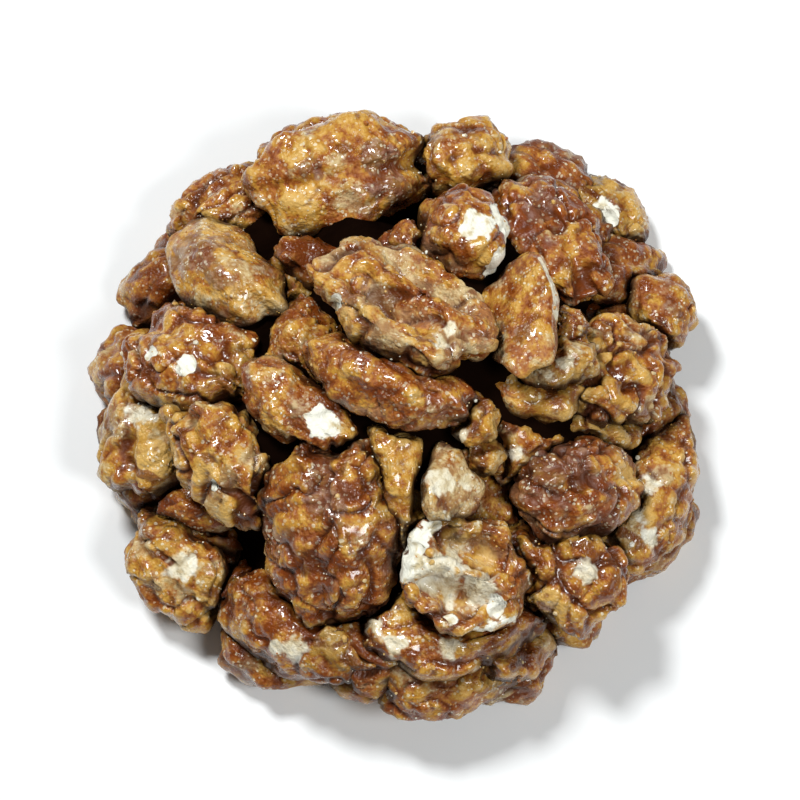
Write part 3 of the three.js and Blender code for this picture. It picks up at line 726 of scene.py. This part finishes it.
def glaze_relief_tree():
    """Ridges and folds of the walnut, then lumps, crust and grit of its glaze."""
    g, size = geometry_tree("glaze_relief", RELIEF)
    place = named(g, "grain", "FLOAT_VECTOR")
    relief, folds, knobs, bare = (named(g, key) for key in ("relief", "folds", "knobs", "bare"))

    # ridges and grooves, bent so that none runs straight
    bend = g.vector("SUBTRACT", g.noise(place, size["Bend pitch"], 1.0, out="Color"), (0.5, 0.5, 0.5))
    bent = g.vector("ADD", place, g.scaled(bend, size["Bend"]))
    x, y, z = g.split(bent)
    sweep = x + abs(y) * 0.5 + z * 0.3
    ridge = abs(g.math("SINE", sweep * math.pi / size["Fold pitch"])) ** 0.7
    meander = g.noise(bent, size["Groove pitch"], 0.0) - 0.5
    groove = g.math("EXPONENT", -((meander / size["Groove width"]) ** 2.0))
    fold = (ridge * 0.5 + 0.5) * (1 - groove * 0.8)
    height = (ridge - 1) * size["Fold depth"] - groove * size["Groove depth"]
    shape = raised(g, size["Geometry"], height * folds * relief - size["Shrink"])

    # broad swellings, and lumps on them
    swell = g.noise(bent, size["Swell pitch"], 1.0) - 0.5
    lump = 1 - g.cells(bent, size["Lump pitch"], "SMOOTH_F1", 0.8) * 1.4
    knob = (lump - 0.5) * size["Lump depth"] * knobs
    shape = raised(g, shape, (knob + swell * size["Swell"]) * relief)

    # crust and grit in patches, and neither where the glaze is chipped
    crusty = g.step(g.noise(place, size["Patch pitch"], 2.0), 0.36, 0.6)
    crust = 1 - g.cells(place, size["Crust pitch"], "SMOOTH_F1", 0.15) * 1.5
    grit = 1 - g.cells(place, size["Grit pitch"], "SMOOTH_F1", 0.15) * 1.5
    ragged = g.noise(place, RAGGED_PITCH, 2.0) - 0.5
    chipped = g.step(bare + ragged * RAGGED_SHIFT, -0.05, 0.12)
    fine = (crust * size["Crust depth"] + grit * size["Grit depth"]) * (crusty * 0.85 + 0.15)
    rough = g.math("MINIMUM", knobs * 0.6 + 0.4, 1)
    shape = raised(g, shape, fine * (1 - chipped) * rough - chipped * size["Chip depth"])

    # what the glaze's colours follow
    shape = stored(g, shape, "fold", 1 - (1 - fold) * folds)
    shape = stored(g, shape, "lump", lump)
    shape = stored(g, shape, "crust", crust * 0.6 + grit * 0.4)
    shape = stored(g, shape, "crusty", crusty)
    return finish_tree(g, shape)


# Radii in mm.
GRAINS = {
    "Per square mm": 0.14,
    "Smallest": 0.1,
    "Largest": 0.26,
    "Seed": 3,
}
CRUMBS = {
    "Per square mm": 0.012,
    "Smallest": 0.3,
    "Largest": 0.75,
    "Seed": 11,
}
BIT_PATCHES = 5.0  # mm from patch to patch
BIT_SEEDS = {"shade": 1, "turn": 2, "stretch": 4, "radius": 5}
BIT_STRETCH = (0.6, 1.2)  # of its radius, along each of its own axes


def random_number(graph, low, high, seed):
    links = {2: low, 3: high, "Seed": seed}
    return graph.wire("FunctionNodeRandomValue", {"data_type": "FLOAT"}, links, 1)


def random_vector(graph, low, high, seed):
    links = {0: (low, low, low), 1: (high, high, high), "Seed": seed}
    return graph.wire("FunctionNodeRandomValue", {"data_type": "FLOAT_VECTOR"}, links)


def scatter_tree(name, sizes, material):
    """Loose bits in patches over the upper sides of the kernels."""
    g, size = geometry_tree(name, sizes)
    place = named(g, "grain", "FLOAT_VECTOR")
    up = g.split(g.wire("GeometryNodeInputNormal"))[2]
    patches = g.step(g.noise(place, BIT_PATCHES, 1.0), 0.45, 0.62) + 0.12
    density = size["Per square mm"] * patches * g.step(up, 0.0, 0.4) / MM ** 2
    spots = {"Mesh": size["Geometry"], "Density": density, "Seed": size["Seed"]}
    settings = {"distribute_method": "RANDOM"}
    points = g.wire("GeometryNodeDistributePointsOnFaces", settings, spots, "Points")
    cloud = stored(g, points, "shade", random_number(g, 0.0, 1.0, BIT_SEEDS["shade"]))
    stretch = random_vector(g, *BIT_STRETCH, BIT_SEEDS["stretch"])
    radius = random_number(g, size["Smallest"], size["Largest"], BIT_SEEDS["radius"])
    placed = g.wire("GeometryNodeInstanceOnPoints", None, {
        "Points": cloud,
        "Instance": g.wire("GeometryNodeMeshIcoSphere", None, {"Radius": 1.0, "Subdivisions": 1}, "Mesh"),
        "Rotation": random_vector(g, 0, math.tau, BIT_SEEDS["turn"]),
        "Scale": g.scaled(stretch, radius * MM),
    })
    solid = g.wire("GeometryNodeRealizeInstances", None, {"Geometry": placed})
    coated = g.wire("GeometryNodeSetMaterial", None, {"Geometry": solid, "Material": material})
    return finish_tree(g, coated)


def with_nodes(piece, tree):
    """The piece's mesh after a geometry node tree, as a plain mesh."""
    modifier = piece.modifiers.new("nodes", "NODES")
    modifier.node_group = tree
    evaluated = piece.evaluated_get(bpy.context.evaluated_depsgraph_get())
    mesh = bpy.data.meshes.new_from_object(evaluated)
    piece.modifiers.remove(modifier)
    return mesh


def lift_to_table(mesh):
    """Flattens what would reach below the table's level."""
    co = read_array(mesh.vertices, "co", len(mesh.vertices) * 3)
    co[2::3] = np.maximum(co[2::3], 0)
    mesh.vertices.foreach_set("co", co)
    mesh.update()


# ---- materials ----

# The next colour is painted shade, laid between neighbouring kernels.
PAINTED_SHADE = (0.022, 0.005, 0.0015, 1)
TREACLE = (0.150, 0.028, 0.002, 1)
GROOVE = (0.075, 0.016, 0.002, 1)
RUST = (0.185, 0.038, 0.003, 1)
CARAMEL = (0.33, 0.108, 0.019, 1)
AMBER = (0.48, 0.235, 0.030, 1)
GOLD = (0.60, 0.36, 0.095, 1)
PLUM = (0.14, 0.050, 0.024, 1)
DUSK = (0.26, 0.155, 0.125, 1)
SAND = (0.34, 0.205, 0.085, 1)
STRAW = (0.55, 0.45, 0.26, 1)
CREAM = (0.74, 0.67, 0.48, 1)
WHITE = (0.80, 0.78, 0.66, 1)
SHADOW = (0.002, 0.001, 0.0005, 1)
SHADOW_BROWN = (0.008, 0.003, 0.0015, 1)

# mm between the blobs or cells of each pattern in the finishes
PITCH = {
    "broad": 9.0,
    "dust": 7.9,
    "haze": 7.0,
    "pool": 6.0,
    "wet": 5.0,
    "rim": 4.0,
    "shadow": 4.0,
    "mottle": 3.0,
    "tint": 1.35,
    "large pebble": 1.0,
    "frost": 0.65,
    "small pebble": 0.6,
    "fine": 0.55,
}


def new_material(name):
    """A material with an empty node tree."""
    material = bpy.data.materials.new(name)
    material.use_nodes = True
    material.node_tree.nodes.clear()
    return material, Graph(material.node_tree)


def finish_material(graph, values):
    """Adds the material's shader, from the values or links of its sockets."""
    shader = graph.wire("ShaderNodeBsdfPrincipled", None, values)
    graph.node("ShaderNodeOutputMaterial", None, {"Surface": shader})


def glaze_patterns(g):
    """What the glaze's layers share: the kernel's looks, its relief and a mottling of noises."""

    def attribute(name, out="Fac"):
        return g.wire("ShaderNodeAttribute", {"attribute_name": name}, None, out)

    def spot(key, shift=RAGGED_SHIFT):
        """Where a listed spot lies, with a ragged edge: 0 at the edge, above 0 inside."""
        return attribute(key) + p.ragged * shift

    looks = ("amber", "purple", "pale", "sandy", "gloss")
    relief = ("fold", "lump", "crust", "crusty", "rim", "nook")
    p = SimpleNamespace(**{key: attribute(key) for key in looks + relief})
    p.place = attribute("grain", "Vector")
    p.ragged = g.noise(p.place, RAGGED_PITCH, 2.0) - 0.5
    p.broad = g.noise(p.place, PITCH["broad"], 2.0)
    p.mottle = g.noise(p.place, PITCH["mottle"], 3.0)
    p.fine = g.noise(p.place, PITCH["fine"], 2.0)
    p.tint = g.split(g.cells(p.place, PITCH["tint"], out="Color"))
    p.speck = (p.crust - 0.22) * 0.22 + (p.tint[0] - 0.5) * 0.08 + (p.fine - 0.5) * 0.32
    p.golden = g.step(spot("golden"), -0.1, 0.5)
    p.dusky = g.step(spot("dusky"), -0.3, 0.4) * 0.28
    p.cream = g.step(spot("cream", 2.2), 0.0, 0.45) * 0.9
    p.bare = g.step(spot("bare"), 0.0, 0.12)
    return p


def caramel_color(g, p):
    """Gold and amber on the crests, caramel and rust between them."""
    crest = (p.fold - 0.85) * 0.35 + (p.lump - 0.35) * 0.15
    warmth = p.mottle * 0.75 + p.broad * 0.5 + p.amber * 0.35 - 0.315 + crest + p.speck + p.golden * 0.24
    return g.ramp(warmth, [(0.34, RUST), (0.48, CARAMEL), (0.62, AMBER), (0.78, GOLD)])


def with_haze(g, p, color):
    """A dull haze of plum and dusk in wide patches."""
    dull = g.noise(p.place, PITCH["haze"], 3.0) + p.purple * 0.4 - 0.2
    dull = dull + p.speck * 0.4 + p.dusky - p.golden * 0.2
    haze = g.blend(g.step(p.crust + p.tint[1] * 0.5, 0.4, 0.9), PLUM, DUSK)
    return g.blend(g.step(dull, 0.53, 0.65) * 0.7, color, haze)


def with_dust(g, p, color):
    """Dry, sandy patches."""
    dry = g.noise(p.place, PITCH["dust"], 2.0) + p.sandy * 0.35 - 0.175
    dry = dry + p.speck * 0.5 - p.golden * 0.2 - p.dusky * 0.6
    dust = g.blend(g.step(p.mottle + p.speck, 0.4, 0.65), SAND, STRAW)
    return g.blend(g.step(dry, 0.52, 0.64) * 0.65, color, dust)


def with_frost(g, p, color):
    """Flecks of sugar, more of them on thick crust and fewer on glossy glaze."""
    chance, reach, _ = g.split(g.cells(p.place, PITCH["frost"], out="Color"))
    fleck = g.step(g.cells(p.place, PITCH["frost"]) - reach * 0.45, 0.25, 0.05)
    frost = g.step(chance + p.ragged * 0.8, 0.7, 0.8) * fleck
    return g.blend(frost * (p.crusty * 0.4 + 0.4 - p.gloss * 0.2), color, CREAM)


def pool_mask(g, p):
    """Where thick, dark glaze has run together between the lumps."""
    low = g.step(p.ragged * 0.8 - p.lump + p.fold * 0.2, -0.15, 0.05)
    return low * g.step(g.noise(p.place, PITCH["pool"], 1.0) + p.gloss * 0.2, 0.56, 0.68)


def nook_shade_mask(g, p):
    """Painted shade: deep between neighbours, and less so where the surface faces up."""
    facing = g.split(g.wire("ShaderNodeNewGeometry", None, None, "Normal"))[2]
    return p.nook ** 2.0 * (1 - g.step(facing, 0.3, 0.9) * 0.6)


def milky_mask(g, p):
    """Where pale walnut shows through thin glaze."""
    cover = p.mottle * 0.6 + p.broad * 0.4 + p.pale * 0.22 + p.speck * 0.4
    return g.math("MAXIMUM", g.step(cover, 0.69, 0.76) * g.step(p.pale, 0.02, 0.1), p.cream)


def glaze_color(g, p, pool, nook, milky):
    """The glaze's layers of colour, from the first to the last laid over it, with painted shade between
    neighbours.
    """
    color = with_frost(g, p, with_dust(g, p, with_haze(g, p, caramel_color(g, p))))
    color = g.blend(pool * 0.8, color, TREACLE)
    rim = p.rim * g.step(g.noise(p.place, PITCH["rim"], 1.0), 0.4, 0.6)
    color = g.blend(rim * 0.25, color, STRAW)
    groove = g.step(p.fold + (p.lump - 0.35) * 0.3, 0.85, 0.45)
    color = g.blend(groove * 0.85, color, GROOVE)
    # painted shade between neighbouring kernels
    color = g.blend(nook * 0.92, color, PAINTED_SHADE)
    flesh = g.ramp(p.broad + p.speck + p.ragged * 0.8, [(0.3, STRAW), (0.48, CREAM), (0.75, WHITE)])
    color = g.blend(milky * (1 - nook * 0.6), color, flesh)
    return g.blend(p.bare, color, g.blend(g.step(p.mottle, 0.52, 0.7), WHITE, STRAW))


def glaze_material():
    """Caramel glaze over walnut, wet and smooth in places and dry and pebbled in others."""
    material, g = new_material("sugar_glaze")
    p = glaze_patterns(g)
    pool, nook, milky = pool_mask(g, p), nook_shade_mask(g, p), milky_mask(g, p)
    wet = g.step(g.noise(p.place, PITCH["wet"], 2.0) + p.gloss * 0.3 - 0.15, 0.42, 0.56)
    wet = g.math("MAXIMUM", wet, pool) * (1 - p.bare) * (1 - milky * 0.7) * (1 - nook * 0.6)
    pebble = g.cells(p.place, PITCH["large pebble"]) * -0.2 + g.cells(p.place, PITCH["small pebble"]) * -0.14
    height = (p.fine - 0.5) * 0.25 + pebble * (1 - p.bare) * (p.crusty * 0.6 + 0.4)
    finish_material(g, {
        "Base Color": glaze_color(g, p, pool, nook, milky),
        "Roughness": 0.5 - wet * 0.3,
        "Coat Weight": wet * 0.75,
        "Coat Roughness": 0.08,
        "Normal": g.wire("ShaderNodeBump", None, {"Strength": 1.0, "Distance": MM, "Height": height}),
        "Specular IOR Level": 0.25,
    })
    return material


def crystal_material():
    """Sugar crystals: most as amber as the glaze under them, some nearly white."""
    material, g = new_material("sugar_crystal")
    shade = g.wire("ShaderNodeAttribute", {"attribute_name": "shade"}, None, "Fac")
    finish_material(g, {
        "Base Color": g.ramp(shade, [(0.2, CARAMEL), (0.5, GOLD), (0.75, STRAW), (0.95, WHITE)]),
        "Roughness": 0.3,
        "Coat Weight": 0.4,
        "Coat Roughness": 0.1,
    })
    return material


def shadow_material():
    """Nearly black painted shade, for what is seen down the gaps."""
    material, g = new_material("glaze_shadow")
    place = g.wire("ShaderNodeTexCoord", None, None, "Object")
    color = g.blend(g.noise(place, PITCH["shadow"] * MM), SHADOW, SHADOW_BROWN)
    finish_material(g, {"Base Color": color, "Roughness": 1.0, "IOR": 1.05})
    return material


# ---- the pieces ----

SHOWN_SPACING = 0.45  # about how many mm lie between the points of the kernels that show
BELOW_SPACING = 0.8  # and of those under them and round the foot
TURNED_OVER = 180
CORE_GRID = 36
CORE_MARGIN = 1.5  # mm that the core stays within the solid's
CORE_EDGE = 4  # how steeply the core rises at its rim


def kernel_piece(name, kernels, spacing, heap, relief, glaze):
    """Kernels of one kind as one piece, with their relief and glaze."""
    mesh = kernel_mesh(name + "_form", kernels, spacing, heap)
    piece = add_object(name, mesh)
    piece.data = with_nodes(piece, relief)
    piece.data.name = name
    piece.data.materials.clear()
    piece.data.materials.append(glaze)
    lift_to_table(piece.data)
    bpy.data.meshes.remove(mesh)
    return piece


def scattered_piece(name, spread, sizes, material):
    """Loose bits of one kind over the kernels that show, as one piece."""
    piece = add_object(name, spread)
    piece.data = with_nodes(piece, scatter_tree(name + "_scatter", sizes, material))
    piece.data.name = name
    return piece


def joined_mesh(meshes):
    """The faces of several meshes in one, with the grain of each."""
    table, quads, grain, start = [], [], [], 0
    for mesh in meshes:
        count = len(mesh.vertices)
        corners = read_array(mesh.loops, "vertex_index", len(mesh.loops), np.int32)
        table.append(read_array(mesh.vertices, "co", count * 3).reshape(-1, 3))
        grain.append(read_array(mesh.attributes["grain"].data, "vector", count * 3))
        quads.append(corners.reshape(-1, 4) + start)
        start += count
    joined = bpy.data.meshes.new("joined")
    joined.from_pydata(np.concatenate(table).tolist(), [], np.concatenate(quads).tolist())
    set_attribute(joined, "grain", "FLOAT_VECTOR", np.concatenate(grain))
    return joined


def core_height(x, y):
    """The top of the core, in mm: lower where the heap is open between its upper kernels."""
    dips = [bell(np.hypot(x - dip_x, y - dip_y), DIP["width"]) for dip_x, dip_y in DIPS]
    return mound_height(np.hypot(x, y)) - CORE["depth"] - DIP["depth"] * np.max(dips, axis=0)


def core_piece():
    """The inside of the heap, seen down the gaps, nearly black with painted shade."""
    u, quads = even_sphere(CORE_GRID)
    x, y = (CORE["radius"] - CORE_MARGIN) * u[:, :2].T
    top = np.maximum(core_height(x, y) - CORE_MARGIN, 0) * np.clip(u[:, 2] * CORE_EDGE, 0, 1)
    points = np.stack([x, y, top], 1)
    mesh = bpy.data.meshes.new("heap_core")
    mesh.from_pydata((points * MM).tolist(), [], quads.tolist())
    mesh.materials.append(shadow_material())
    return add_object("heap_core", mesh)


def dress_heap():
    """Makes every piece of the heap, and says what each rides on."""
    rings, shown = laid_kernels()
    heap = rings + shown
    relief = glaze_relief_tree()
    glaze = glaze_material()
    low = [k for k in shown if k.name.startswith("low_")]
    top = [k for k in shown if not k.name.startswith("low_")]
    groups = {
        "walnut_halves": [k for k in top if k.form == "half" and k.roll != TURNED_OVER],
        "walnut_halves_turned": [k for k in top if k.roll == TURNED_OVER],
        "walnut_lobes": [k for k in top if k.form in ("long", "wing")],
        "walnut_pieces": [k for k in top if k.form in ("chunk", "leaf")],
    }
    pieces = []
    for name, kernels in groups.items():
        pieces.append(kernel_piece(name, kernels, SHOWN_SPACING, heap, relief, glaze))
    spread = joined_mesh([piece.data for piece in pieces])
    crystal = crystal_material()
    pieces.append(scattered_piece("sugar_grains", spread, GRAINS, crystal))
    pieces.append(scattered_piece("glaze_crumbs", spread, CRUMBS, crystal))
    bpy.data.meshes.remove(spread)
    pieces.append(kernel_piece("walnuts_below", low + rings, BELOW_SPACING, heap, relief, glaze))
    for piece in pieces:
        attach(piece, "root")
    core = core_piece()
    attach(core, "root")
    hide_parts(HEAP_NODE)


# ---- the studio ----

# Places and sizes are in metres, energies in watts, the lens in mm and the elevation in degrees.
FLOOR = {"reach": 1.5, "color": (0.85, 0.85, 0.84, 1), "roughness": 0.7}
SKY = {"color": (1, 1, 1, 1), "strength": 0.1}
DAYLIGHT = (0.95, 0.98, 1.0)
LIGHT_AIM = (0, 0, 0.02)
LIGHTS = {
    "key": {"place": (-0.18, 0.22, 0.5), "size": 0.12, "energy": 3.15},
    "fill": {"place": (0.3, -0.2, 0.5), "size": 0.2, "energy": 2.2},
}
CAMERA = {"elevation": 75, "distance": 0.400, "lens": 100, "aim": (0, -0.007, 0.040)}


def look_at(obj, aim):
    """Turns a camera or a light, whose front is its own -Z, towards a place."""
    obj.rotation_mode = "QUATERNION"
    obj.rotation_quaternion = (Vector(aim) - obj.location).to_track_quat("-Z", "Y")


def add_camera():
    camera = bpy.data.objects.new("camera", bpy.data.cameras.new("camera"))
    bpy.context.scene.collection.objects.link(camera)
    camera.data.lens = CAMERA["lens"]
    tilt = math.radians(CAMERA["elevation"])
    back = Vector((0, -math.cos(tilt), math.sin(tilt)))
    camera.location = Vector(CAMERA["aim"]) + back * CAMERA["distance"]
    look_at(camera, CAMERA["aim"])
    bpy.context.scene.camera = camera


def add_light(name, place, size, energy):
    light = bpy.data.lights.new(name, "AREA")
    light.color = DAYLIGHT
    light.shape = "DISK"
    light.size = size
    light.energy = energy
    lamp = bpy.data.objects.new(name, light)
    lamp.location = place
    look_at(lamp, LIGHT_AIM)
    bpy.context.scene.collection.objects.link(lamp)


def add_floor():
    floor = add_object("floor", bpy.data.meshes.new("floor"))
    reach = FLOOR["reach"]
    corners = [(-reach, -reach, 0), (reach, -reach, 0), (reach, reach, 0), (-reach, reach, 0)]
    floor.data.from_pydata(corners, [], [(0, 1, 2, 3)])
    paint = bpy.data.materials.new("pale_floor")
    paint.use_nodes = True
    surface = paint.node_tree.nodes["Principled BSDF"]
    surface.inputs["Base Color"].default_value = FLOOR["color"]
    surface.inputs["Roughness"].default_value = FLOOR["roughness"]
    floor.data.materials.append(paint)


def add_studio():
    """A pale floor, a weak white sky and two soft lights."""
    add_floor()
    world = bpy.data.worlds.new("studio")
    world.use_nodes = True
    background = world.node_tree.nodes["Background"]
    background.inputs["Color"].default_value = SKY["color"]
    background.inputs["Strength"].default_value = SKY["strength"]
    bpy.context.scene.world = world
    for name, light in LIGHTS.items():
        add_light(name, **light)
    bpy.context.scene.view_settings.view_transform = "Standard"


add_camera()
add_studio()
dress_heap()
